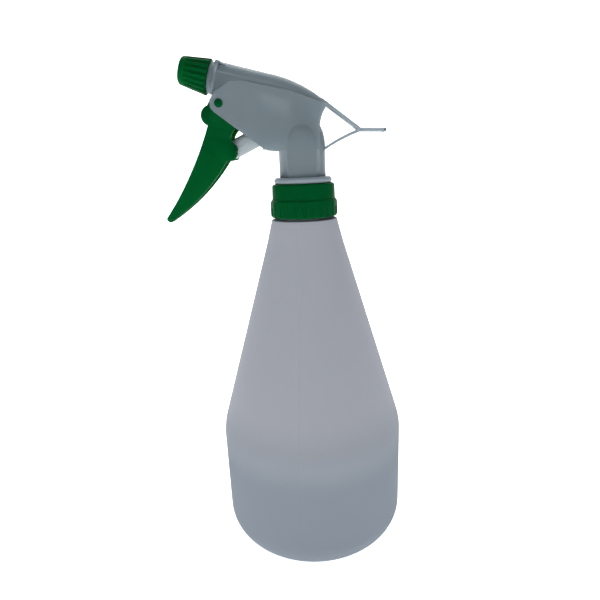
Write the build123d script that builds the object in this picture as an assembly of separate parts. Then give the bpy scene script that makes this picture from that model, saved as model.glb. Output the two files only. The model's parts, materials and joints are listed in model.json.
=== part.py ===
from build123d import *
import math
import os

# Trigger spray bottle: a blow-moulded bottle with a 28 mm screw neck, a screw collar and a trigger pump.
# Lengths are millimetres and angles degrees. The origin is the centre of the base and +Z is up.
# The nozzle and the trigger point to -X, the springy tail to +X. The head's points are given from the
# centre of the stem flange's top face, which is head_z above the base.

# Bottle
foot_r = 49.07
side_r = 49.35
side_h = 65.1
foot_fillet = 16.0
side_bend = 36.0
cone_r = 19.6
cone_h = 165.6
cone_bend = 110.0
shoulder_r = 16.66
shoulder_h = 177.2
bottle_wall = 1.2
push_up = 3.5
push_up_r = 30.0

# Neck, thread and collar
neck_r = 12.5
neck_h = 12.8
neck_bore = 10.4
thread_pitch = 4.23
thread_turns = 1.5
thread_depth = 1.1
thread_foot = 2.1
thread_tip = 1.0
thread_start = 3.4
thread_fit = 0.25
collar_r = 15.7
collar_band_r = 16.6
collar_rib = 0.4
collar_ribs = 24
collar_short_rib = 0.6
collar_band_h = 8.2
collar_wall = 1.6
collar_gap = 1.2

# Closure stack between the neck and the stem flange
gasket_t = 1.4
seat_gap = 0.05
insert_flange = 1.5
swivel_gap = 0.15
flange_t = 2.9
flange_r = 14.5

# Stem insert, ball and dip tube
insert_r = 12.2
hub_r = 8.0
hub_h = 10.0
socket_r = 4.7
socket_h = 10.5
tube_r = 3.0
tube_bore = 2.1
tube_clear = 3.0
tube_seat = 3.0
ball_r = 2.5
ball_lift = 1.2
ball_chamber = 3.1
seat_bore = 1.6
seat_drop = 5.0
strainer_r = 4.2
strainer_h = 13.0

# Pump body and shroud
stem_r = 11.5
shroud_wall = 1.3
cheek_y = 9.0
cheek_round = 0.3
band_y = 8.2
riser_r = 5.5
riser_h = 37.0
channel_r = 2.2
dome_h = 15.3
dome_from = 15.2
tail_t = 1.3
tail_y = 4.5
tail_bead = 0.9

# Discharge line: its axis leaves the stem axis at spout_z and rises towards the nozzle
spout_z = 35.5
spout_tilt = 16.0
spout_r = 5.0
spout_bore = 3.6
plate_at = 41.9
plate_t = 1.9
plate_y = 8.2
plate_up = 7.6
plate_down = 7.7

# Nozzle, measured along the spout from the front plate's front face
spigot_r = 4.9
spigot_len = 11.3
boss_r = spigot_r + 2.3
spigot_bore = 3.0
cap_gap = 2.6
cap_len = 14.0
cap_rear_r = spigot_r + 3.4
cap_front_r = spigot_r + 1.6
cap_flutes = 18
flute_r = 0.75
valve_bore = 1.4
valve_room = 5.7
jet_r = 0.4
nozzle_pitch = 2.0
nozzle_depth = 0.55
nozzle_thread_at = 4.3
ring_r = 0.8
ring_at = 10.1

# Barrel, piston and spring, measured down the barrel's axis from the stem axis
barrel_z = 30.0
barrel_tilt = 25.0
barrel_end = 7.4
barrel_mouth = 24.0
barrel_r = 7.0
barrel_bore = 5.5
barrel_spigot = 3.2
barrel_floor = 1.3
rod_r = 4.4
head_land = 4.5
piston_at = 16.9
spring_r = 3.1
spring_wire = 0.7
spring_turns = 9
spring_bore = 3.7
spring_len = 19.0
slide_fit = 0.04

# Trigger
pivot_x = -38.1
pivot_z = 35.2
pivot_r = 1.9
pivot_fit = 0.07
stud_proud = 0.3
trigger_y = 7.5
trigger_tip_y = 4.8
trigger_wall = 1.5
trigger_round = 1.4
pull = 20.0
pin_r = 1.3
pin_fit = 0.5

# Places that follow from the sizes above
neck_top = shoulder_h + neck_h
insert_base = neck_top + 2 * seat_gap + gasket_t
collar_roof = insert_base + insert_flange + swivel_gap
collar_top = collar_roof + collar_wall
collar_base = shoulder_h + collar_gap
flange_base = collar_top + swivel_gap
head_z = flange_base + flange_t
collar_bore = neck_r + thread_depth + thread_fit
collar_hole = hub_r + 3.0


def at(x, z):
    """A point of the head in the X-Z plane, from the centre of the stem flange's top."""
    return (x, head_z + z)


def side_plate(outline, half_width):
    """A closed outline in the X-Z plane, thickened equally to both sides."""
    return extrude(Plane.XZ.offset(-half_width) * outline, 2 * half_width)


def polygon(*points):
    """A flat face with straight sides."""
    return Polygon(*points, align=None)


def turned(*profile):
    """A solid turned about Z from (radius, height) points."""
    return revolve(Plane.XZ * polygon(*profile), Axis.Z)


def tube(outer, inner, low, high):
    """A round tube about Z."""
    return turned((inner, low), (outer, low), (outer, high), (inner, high))


def rod(radius, low, high):
    """A round bar about Z."""
    return turned((0, low), (radius, low), (radius, high), (0, high))


def cross_bar(radius, x, z, half_width):
    """A round bar along Y through a point of the head."""
    return side_plate(Pos(*at(x, z)) * Circle(radius), half_width)


spout_dir = (-math.cos(math.radians(spout_tilt)), 0, math.sin(math.radians(spout_tilt)))
barrel_dir = (-math.cos(math.radians(barrel_tilt)), 0, -math.sin(math.radians(barrel_tilt)))
spout_frame = Plane(origin=(0, 0, head_z + spout_z), x_dir=(0, 1, 0), z_dir=spout_dir).location
nozzle_frame = spout_frame * Pos(0, 0, plate_at)
barrel_frame = Plane(origin=(0, 0, head_z + barrel_z), x_dir=(0, 1, 0), z_dir=barrel_dir).location

# The trigger's lever arm about the barrel's axis, and where its cross pin stands at rest
barrel_sin = math.sin(math.radians(barrel_tilt))
barrel_cos = math.cos(math.radians(barrel_tilt))
lever = pivot_z - barrel_z - pivot_x * math.tan(math.radians(barrel_tilt))
lever = lever * barrel_cos
pivot_along = -pivot_x * barrel_cos - (pivot_z - barrel_z) * barrel_sin
pin_along = pivot_along + lever * math.sin(math.radians(pull / 2))
pin_x = -pin_along * barrel_cos
pin_z = barrel_z - pin_along * barrel_sin


def ridge(foot_r, tip_r, pitch, turns, foot_w, tip_w, start, phase):
    """A right-hand helical thread ridge about Z, sunk a little into the wall that carries it."""
    path = Helix(pitch, pitch * turns, foot_r, center=(0, 0, start))
    out = 1 if tip_r > foot_r else -1
    depth = abs(tip_r - foot_r)
    sunk = 0.5
    section = polygon(
        (-sunk, -foot_w / 2),
        (0, -foot_w / 2),
        (depth, -tip_w / 2),
        (depth, tip_w / 2),
        (0, foot_w / 2),
        (-sunk, foot_w / 2),
    )
    place = Plane(origin=path @ 0, x_dir=(out, 0, 0), z_dir=path % 0)
    return Rot(0, 0, phase) * sweep(place * section, path, is_frenet=True)


def bottle_profile(inset, floor):
    """Half of the bottle's outline below the neck, moved inwards by inset, standing on floor."""
    hollow_r = (push_up_r**2 + push_up**2) / (2 * push_up)
    half = push_up_r / 2
    half_z = push_up - hollow_r + math.sqrt(hollow_r**2 - half**2)
    base = ThreePointArc((0, floor + push_up), (half, floor + half_z), (push_up_r, floor))
    side = FilletPolyline(
        (push_up_r, floor),
        (foot_r - inset, floor),
        (side_r - inset, side_h),
        (cone_r - inset, cone_h),
        (shoulder_r - inset, shoulder_h - inset),
        radius=[foot_fillet - inset, side_bend - inset, cone_bend],
    )
    top = shoulder_h - inset
    close = Polyline((shoulder_r - inset, top), (0, top), (0, floor + push_up))
    return revolve(Plane.XZ * make_face(base + side + close), Axis.Z)


def make_bottle():
    """Blow-moulded bottle with a pushed-up base and a threaded neck."""
    outer = bottle_profile(0, 0) + rod(neck_r, shoulder_h - 1, neck_top)
    inner = bottle_profile(bottle_wall, bottle_wall) + rod(neck_bore, shoulder_h - 4, neck_top + 1)
    thread = ridge(
        neck_r, neck_r + thread_depth, thread_pitch, thread_turns,
        thread_foot, thread_tip, shoulder_h + thread_start, 0,
    )
    return outer - inner + thread


def make_gasket():
    """Flat washer between the neck's rim and the stem insert."""
    low = neck_top + seat_gap
    return tube(neck_r - 0.1, neck_bore - 0.6, low, low + gasket_t)


def make_collar():
    """Screw collar: a plain upper skirt, a ribbed band and an internal thread."""
    band_top = collar_base + collar_band_h
    skirt = turned(
        (0, collar_base), (collar_band_r - 0.6, collar_base), (collar_band_r, collar_base + 0.6),
        (collar_band_r, band_top), (collar_r + 0.25, band_top + 0.5), (collar_r, collar_top - 1.2),
        (collar_r - 0.3, collar_top - 0.4), (collar_r - 0.9, collar_top), (0, collar_top),
    )
    for i in range(collar_ribs):
        rib_h = (collar_band_h - 1.0) * (collar_short_rib if i % 2 else 1)
        rib = Pos(collar_band_r - 0.3, 0, collar_base + 0.8) * Box(
            collar_rib + 0.3, 1.0, rib_h, align=(Align.MIN, Align.CENTER, Align.MIN)
        )
        skirt += Rot(0, 0, 360 * i / collar_ribs) * rib
    skirt -= rod(collar_bore, collar_base - 1, collar_roof)
    skirt -= rod(collar_hole, collar_base, collar_top + 1)
    thread = ridge(
        collar_bore, neck_r + thread_fit, thread_pitch, thread_turns,
        thread_foot - 0.2, thread_tip - 0.1, shoulder_h + thread_start, 180,
    )
    return skirt + thread


def make_stem_insert():
    """Lower closure moulding: collar retainer, ball seat and dip tube socket."""
    top = insert_base + insert_flange + hub_h
    body = rod(insert_r, insert_base, insert_base + insert_flange)
    body += rod(hub_r, insert_base, top)
    body += rod(socket_r, insert_base - socket_h, insert_base)
    seat_z = top - seat_drop
    cone = ball_chamber - seat_bore
    body -= turned(
        (0, seat_z), (seat_bore, seat_z), (ball_chamber, seat_z + cone),
        (ball_chamber, top + 1), (0, top + 1),
    )
    body -= rod(seat_bore, insert_base, seat_z + 1)
    body -= rod(tube_r, insert_base - socket_h - 1, insert_base + tube_seat)
    return body


def ball_centre():
    """Height of the ball's centre when it rests on its 45 degree seat."""
    seat_z = insert_base + insert_flange + hub_h - seat_drop
    touch = ball_r * math.sin(math.radians(45))
    return seat_z + touch - seat_bore + touch + slide_fit


def make_inlet_ball():
    """Ball of the foot valve."""
    return Pos(0, 0, ball_centre()) * Sphere(ball_r)


def strainer_base():
    """Height of the strainer's underside above the floor."""
    return push_up + bottle_wall + tube_clear


def make_dip_tube():
    """Suction tube from the stem insert to the strainer."""
    return tube(tube_r, tube_bore, strainer_base() + strainer_h / 2, insert_base + tube_seat)


def make_tube_strainer():
    """Slotted cup pushed on the lower end of the dip tube."""
    low = strainer_base()
    high = low + strainer_h
    cup = turned(
        (0, low), (strainer_r - 1, low), (strainer_r, low + 1), (strainer_r, high - 0.5),
        (strainer_r - 0.4, high), (0, high),
    )
    cup -= rod(tube_r, low + strainer_h / 2, high + 1)
    cup -= rod(tube_r - 0.4, low + 1, high)
    slot = Pos(0, 0, low + 1.6) * Box(
        2 * strainer_r + 1, 0.8, strainer_h / 2 - 2.4, align=(Align.CENTER, Align.CENTER, Align.MIN)
    )
    for i in range(4):
        cup -= Rot(0, 0, 45 * i) * slot
    return cup


def make_pump_body():
    """Flange, stem block, riser and discharge line in one moulding."""
    body = turned(
        (0, flange_base), (flange_r - 0.6, flange_base), (flange_r, flange_base + 0.8),
        (flange_r, head_z - 1.0), (flange_r - 1.0, head_z), (0, head_z),
    )
    hub_top = insert_base + insert_flange + hub_h
    inner_r = stem_r - shroud_wall - 0.1
    body += rod(collar_hole - 0.2, insert_base + insert_flange, flange_base + 1)
    body += rod(inner_r, head_z - 1, head_z + 12)
    body += rod(riser_r, head_z, head_z + riser_h)
    body += spout_frame * rod(spout_r, 0, plate_at - plate_t)
    body -= rod(hub_r, insert_base, hub_top)
    stop = ball_centre() + ball_r + ball_lift
    body -= rod(ball_chamber, hub_top - 1, stop)
    body -= rod(channel_r, hub_top, head_z + spout_z + 0.5)
    for turn in (0, 90):
        notch = Pos(0, 0, stop - 0.5) * Box(
            2 * ball_chamber, 1.2, 2.5, align=(Align.CENTER, Align.CENTER, Align.MIN)
        )
        body -= Rot(0, 0, turn) * notch
    body -= spout_frame * rod(channel_r, 0, plate_at)
    body -= spout_frame * rod(spout_bore, plate_at - plate_t - 11, plate_at)
    body -= barrel_frame * rod(barrel_r + 0.2, barrel_end, barrel_mouth)
    body -= barrel_frame * rod(barrel_spigot, 0, barrel_end + 1)
    return body


def cheek_outline():
    """Side outline of the flat cheeks, with the waist above the stem at the back."""
    lines = Polyline(
        at(12.7, 32.9), at(-4.5, 39.5), at(-25.9, 44.4), at(-32.4, 44.6), at(-39.6, 40.4),
        at(-42.3, 36.9), at(-42.3, 33.4), at(-40.9, 31.6), at(-18.0, 13.6), at(-10.7, 12.7),
        at(8.6, 12.7), at(8.9, 19.0),
    )
    back = ThreePointArc(at(8.9, 19.0), at(9.6, 26.6), at(12.7, 32.9))
    return make_face(lines + back)


def band_outline():
    """Side outline of the rounded top, from the front plate back to the tail."""
    front = plate_at - plate_t
    cos_t = math.cos(math.radians(spout_tilt))
    sin_t = math.sin(math.radians(spout_tilt))
    top = (-front * cos_t + plate_up * sin_t, spout_z + front * sin_t + plate_up * cos_t)
    low = (-front * cos_t - plate_down * sin_t, spout_z + front * sin_t - plate_down * cos_t)
    crest = ThreePointArc(at(-14.9, 48.1), at(0.2, 42.6), at(12.8, 34.1))
    rest = Polyline(
        at(12.8, 34.1), at(6.0, 30.0), at(-30.0, 36.0), at(*low), at(*top), at(-14.9, 48.1)
    )
    return make_face(crest + rest)


def above_spout(point):
    """How far a point lies above the spout's axis, square to it."""
    rise = point.Z - head_z - spout_z
    return rise * math.cos(math.radians(spout_tilt)) + point.X * math.sin(math.radians(spout_tilt))


def shroud_core(inset):
    """The shroud's solid outer form, or with an inset the form of its hollow."""
    cheeks = offset(cheek_outline(), -inset) if inset else cheek_outline()
    band = offset(band_outline(), -inset) if inset else band_outline()
    form = side_plate(cheeks, cheek_y - inset)
    if not inset:
        rim = [e for e in form.edges() if abs(abs(e.center().Y) - cheek_y) < 0.01]
        form = fillet(rim, cheek_round)
    top = side_plate(band, band_y - inset)
    side_y = band_y - inset
    sides = [e for e in top.edges() if abs(abs(e.center().Y) - side_y) < 0.01]
    crest = [e for e in sides if above_spout(e.center()) > spout_r]
    form += fillet(crest, 5.5 - inset)
    radius = stem_r - inset
    form += rod(radius, head_z - (1 if inset else 0), head_z + dome_from)
    dome = Pos(0, 0, head_z + dome_from) * scale(Sphere(1), (radius, radius, dome_h - inset))
    return form + dome


def make_shroud():
    """Cover with flat cheeks, rounded top, stem sleeve and springy tail."""
    shell = shroud_core(0) - shroud_core(shroud_wall)
    mouth = polygon(
        at(-44.5, 41.0), at(-44.0, 29.0), at(-19.0, 9.5), at(-11.9, 9.5),
        at(-11.9, 17.0), at(-34.0, 38.0), at(-35.0, 41.0),
    )
    shell -= side_plate(mouth, cheek_y - shroud_wall)
    front = nozzle_frame * Pos(0, 0, -plate_t) * Box(
        2 * (band_y - shroud_wall), 2 * (plate_up - shroud_wall), 6,
    )
    shell -= front
    shell -= cross_bar(pivot_r + pivot_fit, pivot_x, pivot_z, cheek_y + 1)
    fork = at(28.7, 21.2)
    end = at(40.2, 20.7)
    upper = Polyline(at(10.0, 35.6), fork, end)
    lower = Spline(at(10.3, 12.6), at(15.0, 15.3), at(20.5, 18.0), fork)
    tail = side_plate(trace(upper, tail_t), tail_y) + side_plate(trace(lower, tail_t), tail_y)
    tail += cross_bar(tail_bead, 40.2, 20.6, tail_y)
    tail -= shroud_core(shroud_wall / 2)
    return shell + tail


def make_nozzle_holder():
    """Front plate of the housing with the threaded spigot and the tail that plugs into the spout."""
    height = plate_up + plate_down
    boss_len = cap_gap - 0.1
    middle = (plate_up - plate_down) / 2
    outline = Pos(0, middle, -plate_t) * RectangleRounded(2 * plate_y, height, 3.0)
    body = extrude(outline, plate_t) + rod(spigot_r, -1, spigot_len)
    body += turned(
        (0, -0.5), (boss_r, -0.5), (boss_r, boss_len - 0.3), (boss_r - 0.3, boss_len), (0, boss_len),
    )
    body += ridge(
        spigot_r, spigot_r + nozzle_depth, nozzle_pitch, 1.9, 1.0, 0.45, nozzle_thread_at, 0
    )
    body += rod(spout_bore, -plate_t - 10.5, 0)
    body -= rod(valve_bore, -plate_t - 12, 0)
    body -= turned(
        (0, -2.6), (valve_bore, -2.6), (spigot_bore, -1.0),
        (spigot_bore, spigot_len + 1), (0, spigot_len + 1),
    )
    return nozzle_frame * body


def make_outlet_valve():
    """Poppet that seals on the cone at the rear of the spigot's bore."""
    tip = 0.12
    return nozzle_frame * turned(
        (0, -2.0 + tip), (0.7, -2.0 + tip), (1.4, -1.35 + tip), (2.6, -0.4 + tip * 2),
        (2.6, 0.9), (1.2, 0.9), (1.2, 2.6), (0, 2.6),
    )


def make_outlet_spring():
    """Light coil spring between the poppet and the swirl insert."""
    path = Helix(1.2, 4.2, 1.9, center=(0, 0, 1.15))
    place = Plane(origin=path @ 0, x_dir=(1, 0, 0), z_dir=path % 0)
    return nozzle_frame * sweep(place * Circle(0.22), path, is_frenet=True)


def make_swirl_insert():
    """Slotted core pressed into the spigot's end, with a cone that meets the cap's jet."""
    foot = valve_room
    core = turned(
        (0, foot), (spigot_bore, foot), (spigot_bore, spigot_len + 0.4), (1.4, spigot_len + 0.4),
        (0.5, spigot_len + 1.1), (0, spigot_len + 1.1),
    )
    groove = Box(0.9, 2 * spigot_bore + 1, 8, align=(Align.CENTER, Align.CENTER, Align.MIN))
    slots = Pos(0, 0, foot - 0.5) * groove - rod(spigot_bore - 0.8, 0, 20)
    slots += Rot(0, 0, 90) * slots
    return nozzle_frame * (core - slots)


def make_nozzle_o_ring():
    """Ring seal in the cap's groove, round the spigot."""
    ring = Pos(0, 0, ring_at) * Torus(spigot_r + ring_r + slide_fit, ring_r)
    return nozzle_frame * ring


def make_nozzle_cap():
    """Fluted adjusting cap with its thread, ring groove and jet."""
    rear = cap_gap
    front = cap_gap + cap_len
    band = front - 2.6
    slope = (cap_rear_r - cap_front_r) / cap_len
    body = turned(
        (0, rear), (cap_rear_r - 0.4, rear), (cap_rear_r, rear + 0.4), (cap_front_r, front - 0.8),
        (cap_front_r - 0.8, front), (2.6, front + 0.3), (0, front + 0.3),
    )
    tilt = math.degrees(math.atan(slope))
    groove = Pos(cap_rear_r + 0.28, 0, rear - 1) * Rot(0, -tilt, 0) * Cylinder(
        flute_r, cap_len - 1.9, align=(Align.CENTER, Align.CENTER, Align.MIN)
    )
    body -= [Rot(0, 0, 360 * i / cap_flutes) * groove for i in range(cap_flutes)]
    bore = spigot_r + nozzle_depth + 0.12
    body -= rod(bore, rear - 1, ring_at - 1.2)
    body -= rod(spigot_r + slide_fit * 2, rear, spigot_len + 0.9)
    groove_r = spigot_r + 2 * ring_r + slide_fit * 2
    body -= tube(groove_r, spigot_r - 1, ring_at - ring_r - 0.05, ring_at + ring_r + 0.05)
    body -= turned(
        (0, spigot_len + 0.8), (1.9, spigot_len + 0.8), (jet_r, spigot_len + 2.4), (0, spigot_len + 2.4),
    )
    body -= rod(jet_r, spigot_len, front + 1)
    body -= turned((0, front - 0.7), (jet_r, front - 0.7), (1.7, front + 0.4), (0, front + 0.4))
    body += ridge(
        bore, spigot_r + 0.12, nozzle_pitch, 1.4, 0.9, 0.4, nozzle_thread_at, 180
    )
    return nozzle_frame * body


def make_pump_barrel():
    """Cylinder that the piston runs in, with a spigot that plugs into the riser."""
    floor = barrel_end + barrel_floor
    barrel = rod(barrel_r, barrel_end, barrel_mouth) + rod(barrel_spigot, channel_r, barrel_end + 0.5)
    barrel -= rod(barrel_bore, floor, barrel_mouth + 1)
    barrel -= turned(
        (0, barrel_mouth - 0.6), (barrel_bore, barrel_mouth - 0.6),
        (barrel_bore + 0.7, barrel_mouth + 0.1), (0, barrel_mouth + 0.1),
    )
    barrel -= rod(1.2, 0, floor + 1)
    return barrel_frame * barrel


def make_piston():
    """Hollow piston whose front end is hooked on the trigger's cross pin."""
    top = piston_at
    crown = top + head_land
    tip = pin_along + 3.4
    body = turned(
        (0, top), (barrel_bore - 2 * slide_fit - 0.1, top), (barrel_bore - 2 * slide_fit - 0.1, crown),
        (rod_r, crown + 0.8), (rod_r, tip - 1.6), (rod_r - 1.6, tip), (0, tip),
    )
    body -= rod(spring_bore, top - 1, barrel_end + barrel_floor + spring_len)
    body -= tube(barrel_bore + 1, rod_r + 0.1, top + 1.0, top + 3.5)
    eye = Pos(0, 0, pin_along) * extrude(
        Plane.YZ.offset(-barrel_r) * SlotCenterToCenter(2 * pin_fit, 2 * (pin_r + 0.12)), 2 * barrel_r
    )
    return barrel_frame * (body - eye)


def make_piston_seal():
    """Ring seal in the piston's groove."""
    low = piston_at + 1.05
    return barrel_frame * tube(barrel_bore - slide_fit, rod_r + 0.1, low, low + 2.4)


def make_return_spring():
    """Steel return spring from the barrel's floor to the end of the piston's bore."""
    path_len = spring_len - spring_wire - 0.1
    low = barrel_end + barrel_floor + spring_wire / 2 + slide_fit
    path = Helix(path_len / spring_turns, path_len, spring_r, center=(0, 0, low))
    place = Plane(origin=path @ 0, x_dir=(1, 0, 0), z_dir=path % 0)
    return barrel_frame * sweep(place * Circle(spring_wire / 2), path, is_frenet=True)


def trigger_outline():
    """Side outline of the trigger: round nose, curved blade, heel, rod seat and inner arm."""
    def p(x, z):
        return at(pivot_x + x, pivot_z + z)

    curve = ThreePointArc(p(-5.6, -0.6), p(-9.0, -4.6), p(-6.4, -9.5))
    curve += ThreePointArc(p(-6.4, -9.5), p(-17.0, -31.9), p(-31.0, -52.5))
    curve += ThreePointArc(p(-31.0, -52.5), p(-30.5, -54.6), p(-28.2, -54.1))
    curve += ThreePointArc(p(-28.2, -54.1), p(-11.7, -41.5), p(1.6, -26.2))
    curve += Polyline(p(1.6, -26.2), p(5.6, -25.6), p(7.0, -23.2), p(6.4, -19.6), p(4.4, -16.8))
    curve += ThreePointArc(p(4.4, -16.8), p(5.1, -13.6), p(7.6, -11.2))
    curve += Polyline(p(7.6, -11.2), p(10.6, -9.7), p(17.0, -9.6))
    curve += ThreePointArc(p(17.0, -9.6), p(20.1, -6.5), p(18.0, -3.7))
    curve += Polyline(p(18.0, -3.7), p(11.0, -0.9), p(3.0, 2.4))
    curve += ThreePointArc(p(3.0, 2.4), p(-1.6, 2.9), p(-5.6, -0.6))
    return make_face(curve)


def make_trigger():
    """Trigger lever: a channel open at the back, two inner arms, pivot studs and the piston's cross pin."""
    x0, z0 = at(pivot_x, pivot_z)
    outline = trigger_outline()
    lever_solid = side_plate(outline, trigger_y)
    rim = [e for e in lever_solid.edges() if abs(abs(e.center().Y) - trigger_y) < 0.01]
    finger_face = sorted(rim, key=lambda e: e.length)[-2:]
    lever_solid = fillet(finger_face, trigger_round)
    front_view = polygon(
        (-trigger_y, z0 + 6), (-trigger_y, z0 - 14), (-trigger_tip_y, z0 - 53),
        (-trigger_tip_y + 1.8, z0 - 56), (trigger_tip_y - 1.8, z0 - 56),
        (trigger_tip_y, z0 - 53), (trigger_y, z0 - 14), (trigger_y, z0 + 6),
    )
    lever_solid &= Pos(x0, 0, 0) * extrude(Plane.YZ * front_view, 60, both=True)
    hollow = offset(outline, -trigger_wall)
    hollow += Pos(1.5, -1.0) * hollow
    hollow += Pos(1.5, -1.0) * hollow
    inside = side_plate(hollow, trigger_y - trigger_wall)
    inside &= Pos(x0, 0, 0) * extrude(Plane.YZ * offset(front_view, -trigger_wall), 60, both=True)
    lever_solid -= inside
    gap = polygon(
        at(pivot_x + 2.6, pivot_z + 6), at(pivot_x + 2.6, pivot_z - 12), at(pivot_x + 24, pivot_z - 16),
        at(pivot_x + 24, pivot_z + 6),
    )
    lever_solid -= side_plate(gap, trigger_y - trigger_wall)
    lever_solid += cross_bar(pin_r, pin_x, pin_z, trigger_y - trigger_wall / 2)
    stud_len = cheek_y + stud_proud - trigger_y + 1
    for side in (-1, 1):
        face = Plane.XZ.offset(side * (trigger_y - 1)) * Pos(x0, z0) * Circle(pivot_r)
        lever_solid += extrude(face, side * stud_len)
    return lever_solid


def main():
    """Build every piece and write one STEP file for each."""
    pieces = {
        "bottle": make_bottle,
        "bottle_gasket": make_gasket,
        "screw_collar": make_collar,
        "stem_insert": make_stem_insert,
        "inlet_ball": make_inlet_ball,
        "dip_tube": make_dip_tube,
        "tube_strainer": make_tube_strainer,
        "pump_body": make_pump_body,
        "shroud": make_shroud,
        "nozzle_holder": make_nozzle_holder,
        "outlet_valve": make_outlet_valve,
        "outlet_valve_spring": make_outlet_spring,
        "swirl_insert": make_swirl_insert,
        "nozzle_o_ring": make_nozzle_o_ring,
        "nozzle_cap": make_nozzle_cap,
        "pump_barrel": make_pump_barrel,
        "piston": make_piston,
        "piston_seal": make_piston_seal,
        "return_spring": make_return_spring,
        "trigger": make_trigger,
    }
    os.makedirs("parts", exist_ok=True)
    for name, make in pieces.items():
        export_step(make(), f"parts/{name}.step")


main()
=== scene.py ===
import json
import math

import bmesh
import bpy
from bpy.props import FloatProperty, FloatVectorProperty, IntProperty, PointerProperty, StringProperty
from mathutils import Matrix, Vector


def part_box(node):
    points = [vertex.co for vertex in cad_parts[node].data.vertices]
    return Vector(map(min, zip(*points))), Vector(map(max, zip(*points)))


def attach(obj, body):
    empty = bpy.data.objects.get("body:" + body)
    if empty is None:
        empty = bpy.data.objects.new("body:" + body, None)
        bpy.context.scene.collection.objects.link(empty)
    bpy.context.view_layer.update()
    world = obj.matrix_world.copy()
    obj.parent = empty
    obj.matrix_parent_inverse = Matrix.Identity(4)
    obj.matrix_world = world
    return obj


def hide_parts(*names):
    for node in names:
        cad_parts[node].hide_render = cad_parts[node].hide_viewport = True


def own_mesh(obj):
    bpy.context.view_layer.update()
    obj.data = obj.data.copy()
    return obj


bl_info = {
    "name": "Trigger Spray Bottle",
    "version": (1, 0, 0),
    "blender": (4, 5, 0),
    "location": "View3D > Sidebar > Spray Bottle",
    "description": "Builds the looks of a trigger spray bottle round its packed frame",
    "category": "Object",
}

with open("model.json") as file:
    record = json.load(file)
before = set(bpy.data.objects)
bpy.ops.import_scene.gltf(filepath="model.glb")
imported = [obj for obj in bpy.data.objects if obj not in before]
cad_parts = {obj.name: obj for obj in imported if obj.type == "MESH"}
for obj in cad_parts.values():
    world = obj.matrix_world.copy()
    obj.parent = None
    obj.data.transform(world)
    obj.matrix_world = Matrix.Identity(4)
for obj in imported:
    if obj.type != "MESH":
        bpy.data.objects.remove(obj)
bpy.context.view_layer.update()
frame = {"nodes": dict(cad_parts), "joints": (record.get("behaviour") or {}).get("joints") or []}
NODES = frame["nodes"]
MM = 0.001


# ---------------------------------------------------------------- frame places

def centre(node):
    """Middle of a node's box."""
    low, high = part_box(node)
    return (Vector(low) + Vector(high)) / 2


def joint(name):
    """A joint's entry in the record."""
    return next(j for j in frame["joints"] if j["name"] == name)


NECK_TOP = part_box("bottle")[1][2]
BOTTLE_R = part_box("bottle")[1][0]
COLLAR_LOW, COLLAR_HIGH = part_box("screw_collar")
SPOUT_DIR = Vector(joint("nozzle_turn")["axis"]).normalized()
STROKE_DIR = Vector(joint("piston_stroke")["axis"]).normalized()


# ---------------------------------------------------------------- small helpers

def linear(hex_colour):
    """An sRGB hex colour as linear red, green, blue and alpha."""
    digits = hex_colour.lstrip("#")
    parts = [int(digits[i:i + 2], 16) / 255 for i in (0, 2, 4)]
    return [c / 12.92 if c <= 0.04045 else ((c + 0.055) / 1.055) ** 2.4 for c in parts] + [1.0]


def add(tree, kind, links=None, **settings):
    """Adds one node: settings are its attributes, links its inputs by name or index."""
    made = tree.nodes.new(kind)
    for name, value in settings.items():
        setattr(made, name, value)
    for key, value in (links or {}).items():
        if isinstance(value, bpy.types.NodeSocket):
            tree.links.new(value, made.inputs[key])
        else:
            made.inputs[key].default_value = value
    return made


def new_material(name):
    """An empty node material with its output, and the tree that it holds."""
    material = bpy.data.materials.new(name)
    material.use_nodes = True
    material.node_tree.nodes.clear()
    return material, material.node_tree


def from_mesh(name, mesh, body, node, material):
    """Links a finished mesh as a piece that stands for a CAD node and rides on its body."""
    piece = bpy.data.objects.new(name, mesh)
    bpy.context.scene.collection.objects.link(piece)
    piece.data.materials.clear()
    piece.data.materials.append(material)
    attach(piece, body)
    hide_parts(*([node] if isinstance(node, str) else node))
    return piece


def smooth(mesh, degrees=32):
    """Smooth shading with sharp edges where faces meet at more than an angle."""
    mesh.polygons.foreach_set("use_smooth", [True] * len(mesh.polygons))
    mesh.set_sharp_from_angle(angle=math.radians(degrees))
    mesh.update()


def merged_copy(node, name):
    """A copy of a CAD node's mesh with its loose triangles joined."""
    mesh = NODES[node].data.copy()
    mesh.name = name
    build = bmesh.new()
    build.from_mesh(mesh)
    bmesh.ops.remove_doubles(build, verts=build.verts, dist=2e-6)
    bmesh.ops.dissolve_degenerate(build, dist=1e-6, edges=build.edges)
    build.to_mesh(mesh)
    build.free()
    return mesh


def placed(mesh, origin, direction):
    """Moves a mesh built along +Z so that +Z points along a direction from an origin."""
    turn = Vector((0, 0, 1)).rotation_difference(Vector(direction)).to_matrix().to_4x4()
    mesh.transform(Matrix.Translation(origin) @ turn)
    return mesh


def lathe(name, profile, steps, radial=None):
    """Turns a closed (radius, height) profile about Z; radial may add to the radius at an angle and height."""
    build = bmesh.new()
    angles = steps if isinstance(steps, list) else [2 * math.pi * i / steps for i in range(steps)]
    rings = []
    for angle in angles:
        ring = []
        for r, z in profile:
            r2 = r + (radial(angle, r, z) if radial and r > 0 else 0)
            ring.append(build.verts.new((r2 * math.cos(angle), r2 * math.sin(angle), z)))
        rings.append(ring)
    count = len(profile)
    for i, ring in enumerate(rings):
        after = rings[(i + 1) % len(rings)]
        for k in range(count):
            n = (k + 1) % count
            build.faces.new((ring[k], after[k], after[n], ring[n]))
    bmesh.ops.remove_doubles(build, verts=build.verts, dist=1e-7)
    bmesh.ops.recalc_face_normals(build, faces=build.faces)
    mesh = bpy.data.meshes.new(name)
    build.to_mesh(mesh)
    build.free()
    return mesh


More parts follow.
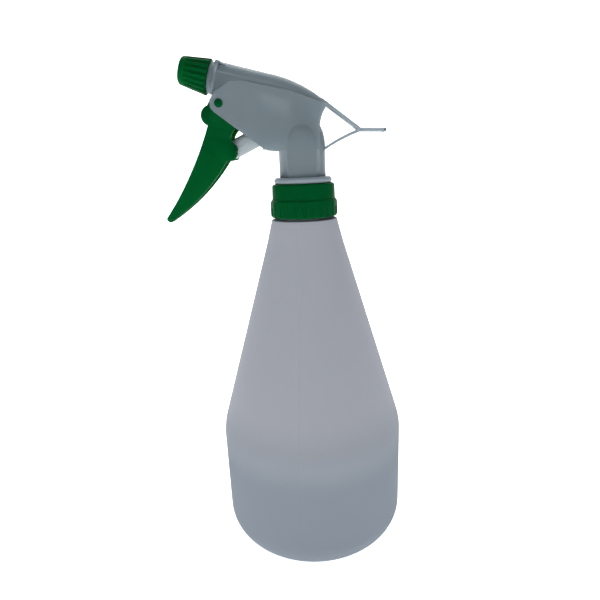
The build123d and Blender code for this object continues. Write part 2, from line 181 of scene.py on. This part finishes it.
def rounded(points, radii, steps=6):
    """An open (radius, height) polyline with an arc of the given radius at each inner corner."""
    out = [points[0]]
    for i in range(1, len(points) - 1):
        a, b, c = (Vector(points[k]) for k in (i - 1, i, i + 1))
        before, after = (a - b).normalized(), (c - b).normalized()
        half = before.angle(after) / 2
        reach = radii[i - 1] / math.tan(half)
        middle = b + (before + after).normalized() * math.hypot(reach, radii[i - 1])
        start = b + before * reach - middle
        sweep = (math.pi - 2 * half) * (-1 if before.cross(after) > 0 else 1)
        for k in range(steps + 1):
            turn = Matrix.Rotation(sweep * k / steps, 2)
            out.append(tuple(middle + turn @ start))
    out.append(points[-1])
    return out


def helical_ridge(name, radius, depth, pitch, turns, low, foot, tip, phase, sink):
    """A closed helical thread about Z: outwards for a positive depth, inwards for a negative one."""
    build = bmesh.new()
    steps = int(72 * turns)
    out = math.copysign(1, depth)
    rings = []
    for i in range(steps + 1):
        angle = 2 * math.pi * turns * i / steps
        fade = min(1, 12 * i / steps, 12 * (steps - i) / steps)
        height = low + pitch * turns * i / steps
        section = [
            (radius - out * sink, -foot / 2), (radius, -foot / 2), (radius + depth * fade, -tip / 2),
            (radius + depth * fade, tip / 2), (radius, foot / 2), (radius - out * sink, foot / 2),
        ]
        turned = [(r * math.cos(angle + phase), r * math.sin(angle + phase), height + z) for r, z in section]
        rings.append([build.verts.new(point) for point in turned])
    for before, after in zip(rings, rings[1:]):
        for k in range(6):
            build.faces.new((before[k], before[(k + 1) % 6], after[(k + 1) % 6], after[k]))
    build.faces.new(rings[0][::-1])
    build.faces.new(rings[-1])
    bmesh.ops.recalc_face_normals(build, faces=build.faces)
    mesh = bpy.data.meshes.new(name)
    build.to_mesh(mesh)
    build.free()
    return mesh


def joined(name, meshes):
    """One mesh from several."""
    build = bmesh.new()
    for mesh in meshes:
        build.from_mesh(mesh)
    mesh = bpy.data.meshes.new(name)
    build.to_mesh(mesh)
    build.free()
    return mesh


# ---------------------------------------------------------------- settings

class FinishSettings(bpy.types.PropertyGroup):
    """Colours of the plastics and metal."""
    bottle: StringProperty(name="Bottle", description="Natural blow-moulded HDPE", default="#B4B7BF")
    # Painted shade: a darker, bluer bottle colour blended in low down, standing in for shade there.
    bottle_painted_shade: StringProperty(name="Bottle, low down", description="The same where it is thick", default="#919AA3")
    milky: StringProperty(name="Pump body", description="Milky PP inside the housing", default="#9CA9B0")
    natural: StringProperty(name="Housing", description="Natural moulded PP", default="#98A7AE")
    green: StringProperty(name="Green", description="Green moulded PP", default="#005A2B")
    green_glow: StringProperty(name="Green glow", description="Light through green PP", default="#00B04A")
    white: StringProperty(name="White", description="White moulded PP", default="#D5DDE4")
    piston: StringProperty(name="Piston", description="Natural LDPE", default="#B0BCC0")
    steel: StringProperty(name="Steel", description="Drawn stainless steel", default="#B9BCBE")
    rubber: StringProperty(name="Seals", description="Black nitrile rubber", default="#1E2022")


class BottleSettings(bpy.types.PropertyGroup):
    """Sizes of the blown bottle."""
    foot_round: FloatProperty(name="Foot rounding", description="Floor to side", default=16 * MM, unit="LENGTH")
    bend: FloatProperty(name="Waist bend", description="Rounding from side to cone", default=36 * MM, unit="LENGTH")
    cone_bend: FloatProperty(name="Cone bend", description="Rounding at the cone's top", default=110 * MM, unit="LENGTH")
    seam_turn: FloatProperty(name="Seam turn", description="Seam's angle from the front", default=math.radians(9), subtype="ANGLE")
    side_h: FloatProperty(name="Side height", description="Top of the upright side", default=65.1 * MM, unit="LENGTH")
    foot_r: FloatProperty(name="Foot radius", description="Side's radius at the floor", default=49.07 * MM, unit="LENGTH")
    cone_r: FloatProperty(name="Cone radius", description="Radius at the cone's top", default=19.6 * MM, unit="LENGTH")
    cone_h: FloatProperty(name="Cone height", description="Top of the straight cone", default=165.6 * MM, unit="LENGTH")
    shoulder_r: FloatProperty(name="Shoulder radius", description="Edge below the collar", default=16.66 * MM, unit="LENGTH")
    neck_h: FloatProperty(name="Neck height", description="Shoulder to rim", default=12.8 * MM, unit="LENGTH")
    neck_r: FloatProperty(name="Neck radius", description="Neck under its thread", default=12.5 * MM, unit="LENGTH")
    neck_bore: FloatProperty(name="Neck bore", description="Radius inside the neck", default=10.4 * MM, unit="LENGTH")
    wall: FloatProperty(name="Wall", description="Blown wall thickness", default=1.2 * MM, unit="LENGTH")
    push_up: FloatProperty(name="Push-up", description="Rise of the base's middle", default=3.5 * MM, unit="LENGTH")
    push_up_r: FloatProperty(name="Push-up radius", description="Inside of the foot ring", default=30 * MM, unit="LENGTH")
    thread: FloatProperty(name="Thread", description="Depth of the neck's thread", default=1.1 * MM, unit="LENGTH")
    pitch: FloatProperty(name="Pitch", description="Rise of the thread in a turn", default=4.23 * MM, unit="LENGTH")
    turns: FloatProperty(name="Turns", description="Turns of thread on the neck", default=1.5)
    thread_start: FloatProperty(name="Thread start", description="Shoulder to thread", default=3.4 * MM, unit="LENGTH")
    seam: FloatProperty(name="Seam", description="Height of the mould's parting ridge", default=0.3 * MM, unit="LENGTH")


class CollarSettings(bpy.types.PropertyGroup):
    """Sizes of the screw collar."""
    ribs: IntProperty(name="Ribs", description="Grip ribs round the band", default=24, min=3)
    rib_r: FloatProperty(name="Rib radius", description="Roundness of a rib", default=0.55 * MM, unit="LENGTH")
    band_h: FloatProperty(name="Band height", description="Height of the ribbed band", default=8.2 * MM, unit="LENGTH")
    skirt_r: FloatProperty(name="Skirt radius", description="Plain skirt over the band", default=15.7 * MM, unit="LENGTH")
    band_r: FloatProperty(name="Band radius", description="Band under its ribs", default=16.6 * MM, unit="LENGTH")
    wall: FloatProperty(name="Roof", description="Thickness of the collar's top", default=1.6 * MM, unit="LENGTH")
    fit: FloatProperty(name="Fit", description="Play between the threads", default=0.25 * MM, unit="LENGTH")


class StageSettings(bpy.types.PropertyGroup):
    """Camera, lights and floor."""
    camera_at: FloatVectorProperty(name="Camera", description="Camera's place", default=(0, -0.2516, 0.2034), subtype="XYZ")
    pitch: FloatProperty(name="Pitch", description="Tilt below level", default=math.radians(15.46), subtype="ANGLE")
    yaw: FloatProperty(name="Yaw", description="Turn to the right", default=math.radians(-0.91), subtype="ANGLE")
    roll: FloatProperty(name="Roll", description="Lean of the view", default=math.radians(2.37), subtype="ANGLE")
    lens: FloatProperty(name="Lens", description="Focal length in millimetres", default=29.16)
    sky: FloatProperty(name="Sky", description="Room's light behind and above", default=0.22)
    sky_front: FloatProperty(name="Front sky", description="Room's light in front", default=0.34)
    sky_tint: StringProperty(name="Sky tint", description="Colour of the room's light", default="#F2F6FF")
    floor: StringProperty(name="Floor", description="Pale floor", default="#F4F4F4")


# ---------------------------------------------------------------- materials

def plastic(name, colour, roughness, transmission, mottle_mm, mottle, grain_mm, grain, sheen=0.5):
    """A moulded plastic: a soft mottle in its colour and a fine moulded grain in its surface."""
    material, tree = new_material(name)
    place = add(tree, "ShaderNodeTexCoord").outputs["Object"]
    cloud = add(tree, "ShaderNodeTexNoise", {"Vector": place, "Scale": 1 / (mottle_mm * MM), "Detail": 3.0})
    base = linear(colour)
    dark = [c * (1 - mottle) for c in base[:3]] + [1]
    light = [min(c * (1 + mottle), 1) for c in base[:3]] + [1]
    tint = add(tree, "ShaderNodeMix", {"Factor": cloud.outputs["Fac"], 6: dark, 7: light}, data_type="RGBA")
    sand = add(tree, "ShaderNodeTexNoise", {"Vector": place, "Scale": 1 / (grain_mm * MM), "Detail": 2.0})
    rough = add(tree, "ShaderNodeMapRange", {
        "Value": cloud.outputs["Fac"], "To Min": roughness * 0.85, "To Max": roughness * 1.15,
    })
    bump = add(tree, "ShaderNodeBump", {"Strength": grain, "Distance": 0.05 * MM, "Height": sand.outputs["Fac"]})
    shader = add(tree, "ShaderNodeBsdfPrincipled", {
        "Base Color": tint.outputs[2], "Roughness": rough.outputs["Result"], "IOR": 1.5,
        "Transmission Weight": transmission, "Normal": bump.outputs["Normal"], "Specular IOR Level": sheen,
    })
    add(tree, "ShaderNodeOutputMaterial", {"Surface": shader.outputs["BSDF"]})
    return material


def blown_hdpe(finish):
    """Natural high-density polyethylene, blow-moulded: milky and satin, with painted shade that turns it darker and
    bluer low down.
    """
    made = plastic("hdpe_blow_moulded_natural", finish.bottle, 0.6, 0.1, 45, 0.03, 1.2, 0.12, 0.0)
    tree = made.node_tree
    shader = tree.nodes["Principled BSDF"]
    tint = shader.inputs["Base Color"].links[0].from_socket
    place = add(tree, "ShaderNodeTexCoord").outputs["Object"]
    height = add(tree, "ShaderNodeSeparateXYZ", {"Vector": place}).outputs["Z"]
    # Painted shade: the colour blends to the darker, bluer shaded tint from 85 mm down, fully by 45 mm.
    painted_shaded = add(tree, "ShaderNodeMapRange", {
        "Value": height, "From Min": 45 * MM, "From Max": 85 * MM, "To Min": 1.0, "To Max": 0.0,
    }, interpolation_type="SMOOTHSTEP")
    shade_mix = add(tree, "ShaderNodeMix", {
        "Factor": painted_shaded.outputs["Result"], 6: tint, 7: linear(finish.bottle_painted_shade),
    }, data_type="RGBA")
    tree.links.new(shade_mix.outputs[2], shader.inputs["Base Color"])
    return made


def natural_pp(finish):
    """Unpigmented polypropylene, injection-moulded: cloudy and clearer than HDPE, so what is close behind it shows."""
    return plastic("pp_moulded_natural", finish.natural, 0.45, 0.5, 12, 0.05, 0.8, 0.10, 0.08)


def milky_pp(finish):
    """Milky polypropylene, injection-moulded: paler than the cover, so it shows through it."""
    return plastic("pp_moulded_milky", finish.milky, 0.45, 0.1, 9, 0.03, 0.7, 0.10, 0.1)


def green_pp(finish):
    """Green polypropylene, injection-moulded and polished: glossy, with light bleeding through thin edges."""
    made = plastic("pp_moulded_green", finish.green, 0.36, 0.0, 9, 0.08, 0.6, 0.08, 0.02)
    tree = made.node_tree
    shader = tree.nodes["Principled BSDF"]
    output = tree.nodes["Material Output"]
    glow = add(tree, "ShaderNodeBsdfTranslucent", {"Color": linear(finish.green_glow)})
    thin = add(tree, "ShaderNodeMixShader", {0: 0.3, 1: shader.outputs["BSDF"], 2: glow.outputs["BSDF"]})
    tree.links.new(thin.outputs["Shader"], output.inputs["Surface"])
    return made


def white_pp(finish):
    """White polypropylene, injection-moulded: opaque, satin."""
    return plastic("pp_moulded_white", finish.white, 0.4, 0.0, 9, 0.03, 0.7, 0.10, 0.3)


def soft_pe(finish):
    """Natural low-density polyethylene: waxy and cloudy."""
    return plastic("ldpe_moulded_natural", finish.piston, 0.45, 0.3, 8, 0.04, 0.7, 0.10, 0.3)


def nitrile(finish):
    """Black nitrile rubber, moulded: matte with a faint sheen."""
    return plastic("nitrile_rubber_black", finish.rubber, 0.6, 0.0, 4, 0.08, 0.4, 0.15, 0.3)


def drawn_steel(finish):
    """Stainless steel, drawn to wire or ground to a ball: bright with fine marks."""
    material, tree = new_material("stainless_steel_drawn")
    place = add(tree, "ShaderNodeTexCoord").outputs["Object"]
    marks = add(tree, "ShaderNodeTexNoise", {"Vector": place, "Scale": 1 / (0.3 * MM), "Detail": 2.0})
    rough = add(tree, "ShaderNodeMapRange", {"Value": marks.outputs["Fac"], "To Min": 0.18, "To Max": 0.34})
    shader = add(tree, "ShaderNodeBsdfPrincipled", {
        "Base Color": linear(finish.steel), "Metallic": 1.0, "Roughness": rough.outputs["Result"],
    })
    add(tree, "ShaderNodeOutputMaterial", {"Surface": shader.outputs["BSDF"]})
    return material


MATERIALS = {}


def material(name):
    """A finish by its short name, made once."""
    makers = {
        "bottle": blown_hdpe, "milky": milky_pp, "natural": natural_pp, "green": green_pp, "white": white_pp,
        "piston": soft_pe, "rubber": nitrile, "steel": drawn_steel,
    }
    if name not in MATERIALS:
        MATERIALS[name] = makers[name](bpy.context.scene.spray_finish)
    return MATERIALS[name]


# ---------------------------------------------------------------- node trees that repeat

def rib_tree(tree_name, finish):
    """Geometry Nodes: round bars set in a ring about Z, every other one shorter, leaning inwards to their top."""
    tree = bpy.data.node_groups.new(tree_name, "GeometryNodeTree")
    face = tree.interface
    face.new_socket("Geometry", in_out="OUTPUT", socket_type="NodeSocketGeometry")
    inputs = {
        "Count": "NodeSocketInt", "Ring Radius": "NodeSocketFloat", "Bar Radius": "NodeSocketFloat",
        "Bar Length": "NodeSocketFloat", "Short Share": "NodeSocketFloat", "Base Height": "NodeSocketFloat",
        "Lean": "NodeSocketFloat",
    }
    for name, kind in inputs.items():
        face.new_socket(name, in_out="INPUT", socket_type=kind)
    source = add(tree, "NodeGroupInput").outputs
    ring = add(tree, "GeometryNodeMeshCircle", {"Vertices": source["Count"], "Radius": source["Ring Radius"]})
    bar = add(tree, "GeometryNodeMeshCylinder", {
        "Vertices": 12, "Side Segments": 1, "Radius": source["Bar Radius"], "Depth": source["Bar Length"],
    }, fill_type="TRIANGLE_FAN")
    half = add(tree, "ShaderNodeMath", {0: source["Bar Length"], 1: 0.5}, operation="MULTIPLY")
    lift = add(tree, "ShaderNodeCombineXYZ", {"Z": half.outputs[0]})
    raised = add(tree, "GeometryNodeTransform", {"Geometry": bar.outputs["Mesh"], "Translation": lift.outputs[0]})
    index = add(tree, "GeometryNodeInputIndex").outputs[0]
    step = add(tree, "ShaderNodeMath", {0: 2 * math.pi, 1: source["Count"]}, operation="DIVIDE")
    turn = add(tree, "ShaderNodeMath", {0: index, 1: step.outputs[0]}, operation="MULTIPLY")
    lean = add(tree, "ShaderNodeMath", {0: source["Lean"], 1: -1.0}, operation="MULTIPLY")
    angles = add(tree, "ShaderNodeCombineXYZ", {"Y": lean.outputs[0], "Z": turn.outputs[0]})
    odd = add(tree, "ShaderNodeMath", {0: index, 1: 2.0}, operation="MODULO")
    tall = add(tree, "ShaderNodeMapRange", {"Value": odd.outputs[0], "To Min": 1.0, "To Max": source["Short Share"]})
    scale = add(tree, "ShaderNodeCombineXYZ", {"X": 1.0, "Y": 1.0, "Z": tall.outputs["Result"]})
    placed_bars = add(tree, "GeometryNodeInstanceOnPoints", {
        "Points": ring.outputs["Mesh"], "Instance": raised.outputs["Geometry"],
        "Rotation": angles.outputs[0], "Scale": scale.outputs[0],
    })
    base = add(tree, "ShaderNodeCombineXYZ", {"Z": source["Base Height"]})
    lifted = add(tree, "GeometryNodeTransform", {
        "Geometry": placed_bars.outputs["Instances"], "Translation": base.outputs[0],
    })
    real = add(tree, "GeometryNodeRealizeInstances", {"Geometry": lifted.outputs["Geometry"]})
    coat = add(tree, "GeometryNodeSetMaterial", {"Geometry": real.outputs["Geometry"], "Material": finish})
    add(tree, "NodeGroupOutput", {"Geometry": coat.outputs["Geometry"]})
    return tree


def coil_tree(tree_name, finish):
    """Geometry Nodes: a round wire wound about Z."""
    tree = bpy.data.node_groups.new(tree_name, "GeometryNodeTree")
    face = tree.interface
    face.new_socket("Geometry", in_out="OUTPUT", socket_type="NodeSocketGeometry")
    inputs = {
        "Turns": "NodeSocketFloat", "Coil Radius": "NodeSocketFloat", "Length": "NodeSocketFloat",
        "Wire Radius": "NodeSocketFloat", "Points": "NodeSocketInt",
    }
    for name, kind in inputs.items():
        face.new_socket(name, in_out="INPUT", socket_type=kind)
    source = add(tree, "NodeGroupInput").outputs
    helix = add(tree, "GeometryNodeCurveSpiral", {
        "Resolution": source["Points"], "Rotations": source["Turns"], "Start Radius": source["Coil Radius"],
        "End Radius": source["Coil Radius"], "Height": source["Length"],
    })
    wire = add(tree, "GeometryNodeCurvePrimitiveCircle", {"Resolution": 12, "Radius": source["Wire Radius"]})
    swept = add(tree, "GeometryNodeCurveToMesh", {
        "Curve": helix.outputs["Curve"], "Profile Curve": wire.outputs["Curve"], "Fill Caps": True,
    })
    real = add(tree, "GeometryNodeRealizeInstances", {"Geometry": swept.outputs["Mesh"]})
    coat = add(tree, "GeometryNodeSetMaterial", {"Geometry": real.outputs["Geometry"], "Material": finish})
    add(tree, "NodeGroupOutput", {"Geometry": coat.outputs["Geometry"]})
    return tree


def from_tree(tree, settings):
    """The plain mesh that a Geometry Nodes tree makes with these inputs."""
    holder = bpy.data.objects.new("holder", bpy.data.meshes.new("holder"))
    bpy.context.scene.collection.objects.link(holder)
    modifier = holder.modifiers.new("shape", "NODES")
    modifier.node_group = tree
    for item in tree.interface.items_tree:
        if item.in_out == "INPUT" and item.name in settings:
            modifier[item.identifier] = settings[item.name]
    depsgraph = bpy.context.evaluated_depsgraph_get()
    mesh = bpy.data.meshes.new_from_object(holder.evaluated_get(depsgraph))
    holder.modifiers.remove(modifier)
    bpy.data.objects.remove(holder)
    return mesh


# ---------------------------------------------------------------- operators

class SPRAY_OT_bottle(bpy.types.Operator):
    """Blown bottle with its mould seam, pushed-up base and threaded neck"""
    bl_idname = "spray.bottle"
    bl_label = "Bottle"

    def profile(self, size, inset):
        """Half outline from the base's middle to the neck, moved inwards by the wall."""
        rise = size.push_up
        hollow_r = (size.push_up_r ** 2 + rise ** 2) / (2 * rise)
        base = []
        for i in range(13):
            r = size.push_up_r * i / 12
            base.append((r, inset + rise - hollow_r + math.sqrt(hollow_r ** 2 - r ** 2)))
        shoulder = NECK_TOP - size.neck_h
        side = rounded(
            [
                (size.push_up_r, inset), (size.foot_r - inset, inset), (BOTTLE_R - inset, size.side_h),
                (size.cone_r - inset, size.cone_h), (size.shoulder_r - inset, shoulder - inset),
                ((size.neck_bore if inset else size.neck_r), shoulder - inset),
            ],
            [size.foot_round - inset, size.bend - inset, size.cone_bend, 0.5 * MM], steps=16,
        )
        return base[:-1] + side

    def execute(self, context):
        size = context.scene.spray_bottle
        outer = self.profile(size, 0)
        inner = self.profile(size, size.wall)
        rim = rounded(
            [outer[-1], (size.neck_r, NECK_TOP), (size.neck_bore, NECK_TOP), inner[-1]],
            [0.4 * MM, 0.4 * MM], steps=4,
        )
        seams = [math.pi / 2 - size.seam_turn, 3 * math.pi / 2 - size.seam_turn]
        fade_from, fade_over, width = 0.115, 0.02, 0.4 * MM

        def seam(angle, r, z):
            """Radial height of the two seam ridges, which die out down the cone."""
            if r <= size.neck_r + 0.1 * MM:
                return 0
            off = min(abs(angle - at) for at in seams) * r
            strength = 0.2 + 0.8 * min(max((z - fade_from) / fade_over, 0), 1)
            return size.seam * strength * math.exp(-((off / width) ** 2))

        count = 224
        angles = [2 * math.pi * i / count for i in range(count)]
        for at in seams:
            angles += [at + math.radians(d) for d in (-1.5, -1.1, -0.8, -0.5, -0.25, 0, 0.25, 0.5, 0.8, 1.1, 1.5)]
        body = lathe("bottle_wall", outer + rim[1:-1] + inner[::-1], sorted(angles), seam)
        thread = helical_ridge(
            "neck_thread", size.neck_r, size.thread, size.pitch, size.turns,
            NECK_TOP - size.neck_h + size.thread_start, 2.1 * MM, 1.0 * MM, 0, 0.4 * MM,
        )
        mesh = joined("bottle", [body, thread])
        smooth(mesh, 40)
        from_mesh("bottle_blown", mesh, "bottle", "bottle", material("bottle"))
        return {"FINISHED"}


class SPRAY_OT_collar(bpy.types.Operator):
    """Green screw collar with its ribbed band"""
    bl_idname = "spray.collar"
    bl_label = "Collar"

    def execute(self, context):
        size = context.scene.spray_collar
        bottle = context.scene.spray_bottle
        low, high = COLLAR_LOW[2], COLLAR_HIGH[2]
        roof = high - size.wall
        bore = bottle.neck_r + bottle.thread + size.fit
        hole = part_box("stem_insert")[1][1] - 1.2 * MM
        band = low + size.band_h
        outline = rounded(
            [
                (bore, roof), (bore, low), (size.band_r, low), (size.band_r, band),
                (size.skirt_r + 0.2 * MM, band + 0.6 * MM), (size.skirt_r, high), (hole, high), (hole, roof),
            ],
            [0.4 * MM, 0.7 * MM, 0.5 * MM, 0.8 * MM, 1.3 * MM, 0.3 * MM], steps=7,
        )
        shell = lathe("collar_shell", outline, 240)
        thread = helical_ridge(
            "collar_thread", bore, -(bottle.thread + size.fit - 0.25 * MM), bottle.pitch, bottle.turns,
            NECK_TOP - bottle.neck_h + bottle.thread_start, 1.9 * MM, 0.9 * MM, math.pi, 0.4 * MM,
        )
        ribs = from_tree(rib_tree("collar_ribs", material("green")), {
            "Count": size.ribs, "Ring Radius": size.band_r - 0.15 * MM, "Bar Radius": size.rib_r,
            "Bar Length": size.band_h - 1.4 * MM, "Short Share": 0.6, "Base Height": low + 0.8 * MM, "Lean": 0.0,
        })
        whole = joined("screw_collar", [shell, thread, ribs])
        smooth(whole, 34)
        from_mesh("collar_green", whole, "collar", "screw_collar", material("green"))
        return {"FINISHED"}


class SPRAY_OT_nozzle(bpy.types.Operator):
    """Green adjusting cap with its grip ribs"""
    bl_idname = "spray.nozzle"
    bl_label = "Nozzle cap"

    def execute(self, context):
        mesh = merged_copy("nozzle_cap", "nozzle_cap_smooth")
        smooth(mesh, 35)
        from_mesh("nozzle_cap_green", mesh, "nozzle_cap", "nozzle_cap", material("green"))
        return {"FINISHED"}


class SPRAY_OT_trigger(bpy.types.Operator):
    """Green trigger lever with its studs, arms and cross pin"""
    bl_idname = "spray.trigger"
    bl_label = "Trigger"

    def execute(self, context):
        mesh = merged_copy("trigger", "trigger_smooth")
        smooth(mesh, 32)
        from_mesh("trigger_green", mesh, "trigger", "trigger", material("green"))
        return {"FINISHED"}


class SPRAY_OT_housing(bpy.types.Operator):
    """Natural shroud, pump body and nozzle holder"""
    bl_idname = "spray.housing"
    bl_label = "Housing"

    def execute(self, context):
        finishes = {"shroud": "natural", "pump_body": "milky", "nozzle_holder": "natural", "pump_barrel": "milky"}
        for node, finish in finishes.items():
            mesh = merged_copy(node, node + "_smooth")
            smooth(mesh, 32)
            from_mesh(node + "_moulded", mesh, "head", node, material(finish))
        return {"FINISHED"}


class SPRAY_OT_springs(bpy.types.Operator):
    """Return spring and outlet valve spring"""
    bl_idname = "spray.springs"
    bl_label = "Springs"

    def coil(self, node, body, axis, turns, wire, joint_name, keep, fixed_far):
        """One coil between the ends of its CAD node along an axis."""
        corners = [v.co for v in NODES[node].data.vertices]
        reach = [c.dot(axis) for c in corners]
        low, high = min(reach), max(reach)
        middle = centre(node)
        base = middle + axis * (low - middle.dot(axis))
        radius = max((c - middle - axis * (c - middle).dot(axis)).length for c in corners)
        tree = coil_tree(node + "_coil", material("steel"))
        mesh = from_tree(tree, {
            "Turns": turns, "Coil Radius": radius - wire, "Length": high - low - 2 * wire,
            "Wire Radius": wire, "Points": 28,
        })
        mesh.transform(Matrix.Translation((0, 0, wire)))
        placed(mesh, base, axis)
        smooth(mesh, 60)
        piece = from_mesh(node + "_wire", mesh, body, node, material("steel"))
        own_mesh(piece)

    def execute(self, context):
        stroke = joint("piston_stroke")["range_m"][1]
        return_length = 19.0 * MM
        keep = 1 - stroke / return_length
        self.coil("return_spring", "head", STROKE_DIR, 9.0, 0.35 * MM, "piston_stroke", keep, True)
        lift = joint("outlet_valve_lift")["range_m"][1]
        valve_length = 4.6 * MM
        keep = 1 - lift / valve_length
        self.coil("outlet_valve_spring", "head", SPOUT_DIR, 3.5, 0.22 * MM, "outlet_valve_lift", keep, True)
        return {"FINISHED"}


class SPRAY_OT_small_parts(bpy.types.Operator):
    """Inner pieces: insert, ball, tube, strainer, valve, seals and washer"""
    bl_idname = "spray.small_parts"
    bl_label = "Small parts"

    def execute(self, context):
        parts = {
            "bottle_gasket": ("washer", "washer_foam", "white"),
            "stem_insert": ("head", "pp_white", "white"),
            "inlet_ball": ("inlet_ball", "steel", "steel"),
            "dip_tube": ("head", "tube_clear", "piston"),
            "tube_strainer": ("head", "pp_white", "white"),
            "outlet_valve": ("outlet_valve", "pp_white", "white"),
            "swirl_insert": ("head", "pp_white", "white"),
            "nozzle_o_ring": ("cap_ring", "seal_rubber", "rubber"),
            "piston": ("piston", "ldpe_natural", "piston"),
            "piston_seal": ("piston", "seal_rubber", "rubber"),
        }
        for node, (body, slot, finish) in parts.items():
            mesh = merged_copy(node, node + "_smooth")
            smooth(mesh, 32)
            from_mesh(node + "_part", mesh, body, node, material(finish))
        return {"FINISHED"}


class SPRAY_OT_stage(bpy.types.Operator):
    """Pale floor, soft light and camera"""
    bl_idname = "spray.stage"
    bl_label = "Stage"

    def floor(self, colour):
        """A floor that curves up behind the object."""
        build = bmesh.new()
        half, front, back, rise, bend = 1.6, -1.5, 1.6, 2.4, 0.8
        line = [(front, 0.0), (0.0, 0.0)]
        line += [(back - bend + bend * math.sin(t), bend - bend * math.cos(t)) for t in (math.pi / 2 * i / 12 for i in range(13))]
        line += [(back, rise)]
        rows = [[build.verts.new((x, y, z)) for x in (-half, half)] for y, z in line]
        for a, b in zip(rows, rows[1:]):
            build.faces.new((a[0], a[1], b[1], b[0]))
        mesh = bpy.data.meshes.new("floor")
        build.to_mesh(mesh)
        build.free()
        mesh.polygons.foreach_set("use_smooth", [True] * len(mesh.polygons))
        finish, tree = new_material("studio_paper")
        paper = add(tree, "ShaderNodeBsdfPrincipled", {
            "Base Color": linear(colour), "Roughness": 0.9, "Emission Color": (1, 1, 1, 1), "Emission Strength": 0.85,
        })
        add(tree, "ShaderNodeOutputMaterial", {"Surface": paper.outputs["BSDF"]})
        mesh.materials.append(finish)
        floor = bpy.data.objects.new("floor", mesh)
        bpy.context.scene.collection.objects.link(floor)

    def lamp(self, name, place, aim, size, power):
        """A soft area lamp that faces a point."""
        light = bpy.data.lights.new(name, "AREA")
        light.size = size
        light.energy = power
        lamp = bpy.data.objects.new(name, light)
        lamp.location = place
        lamp.rotation_euler = (Vector(aim) - Vector(place)).to_track_quat("-Z", "Y").to_euler()
        bpy.context.scene.collection.objects.link(lamp)

    def room(self, size):
        """Soft room light, bright behind and above the object and dim in front of it."""
        world = bpy.data.worlds.new("studio")
        world.use_nodes = True
        tree = world.node_tree
        tree.nodes.clear()
        ahead = add(tree, "ShaderNodeTexCoord").outputs["Generated"]
        toward = add(tree, "ShaderNodeVectorMath", {0: ahead, 1: (0, 0.8, 0.6)}, operation="DOT_PRODUCT")
        glow = add(tree, "ShaderNodeMapRange", {
            "Value": toward.outputs["Value"], "From Min": -0.8, "From Max": 0.8,
            "To Min": size.sky_front, "To Max": size.sky,
        }, interpolation_type="SMOOTHSTEP")
        sky = add(tree, "ShaderNodeBackground", {"Color": linear(size.sky_tint), "Strength": glow.outputs["Result"]})
        add(tree, "ShaderNodeOutputWorld", {"Surface": sky.outputs["Background"]})
        return world

    def camera(self, size):
        """The camera, from its pitch, yaw and roll."""
        sy, cy, sp, cp = math.sin(size.yaw), math.cos(size.yaw), math.sin(size.pitch), math.cos(size.pitch)
        ahead = Vector((sy * cp, cy * cp, -sp))
        right = Vector((cy, -sy, 0))
        up = right.cross(ahead)
        level_right = right * math.cos(size.roll) - up * math.sin(size.roll)
        level_up = right * math.sin(size.roll) + up * math.cos(size.roll)
        turn = Matrix((level_right, level_up, -ahead)).transposed().to_4x4()
        data = bpy.data.cameras.new("camera")
        data.lens = size.lens
        data.sensor_width = 36
        data.clip_start = 0.01
        camera = bpy.data.objects.new("camera", data)
        camera.matrix_world = Matrix.Translation(size.camera_at) @ turn
        bpy.context.scene.collection.objects.link(camera)
        bpy.context.scene.camera = camera

    def execute(self, context):
        size = context.scene.spray_stage
        self.floor(size.floor)
        self.camera(size)
        self.lamp("back_softbox", (0, 0.9, 1.7), (0, 0.3, 0), 1.4, 18)
        self.lamp("front_fill", (-0.6, -1.4, 0.9), (0, 0, 0.15), 1.4, 4)
        self.lamp("wall_wash", (0, 0.6, 2.4), (0, 1.6, 0.6), 1.6, 12)
        context.scene.world = self.room(size)
        context.scene.view_settings.view_transform = "Standard"
        return {"FINISHED"}


class SPRAY_PT_panel(bpy.types.Panel):
    """Lists the builders in the sidebar"""
    bl_idname = "SPRAY_PT_panel"
    bl_label = "Spray Bottle"
    bl_space_type = "VIEW_3D"
    bl_region_type = "UI"
    bl_category = "Spray Bottle"

    def draw(self, context):
        for builder in BUILDERS:
            self.layout.operator(builder.bl_idname)


BUILDERS = (
    SPRAY_OT_stage, SPRAY_OT_bottle, SPRAY_OT_collar, SPRAY_OT_housing, SPRAY_OT_trigger,
    SPRAY_OT_nozzle, SPRAY_OT_springs, SPRAY_OT_small_parts,
)
GROUPS = {
    "spray_finish": FinishSettings, "spray_bottle": BottleSettings, "spray_collar": CollarSettings,
    "spray_stage": StageSettings,
}


def register():
    for group in GROUPS.values():
        bpy.utils.register_class(group)
    for name, group in GROUPS.items():
        setattr(bpy.types.Scene, name, PointerProperty(type=group))
    for builder in BUILDERS + (SPRAY_PT_panel,):
        bpy.utils.register_class(builder)


def unregister():
    for builder in reversed(BUILDERS + (SPRAY_PT_panel,)):
        bpy.utils.unregister_class(builder)
    for name, group in GROUPS.items():
        delattr(bpy.types.Scene, name)
        bpy.utils.unregister_class(group)


def main():
    """Registers the add-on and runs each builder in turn."""
    register()
    for builder in BUILDERS:
        area, action = builder.bl_idname.split(".")
        getattr(getattr(bpy.ops, area), action)()


if __name__ == "__main__":
    main()
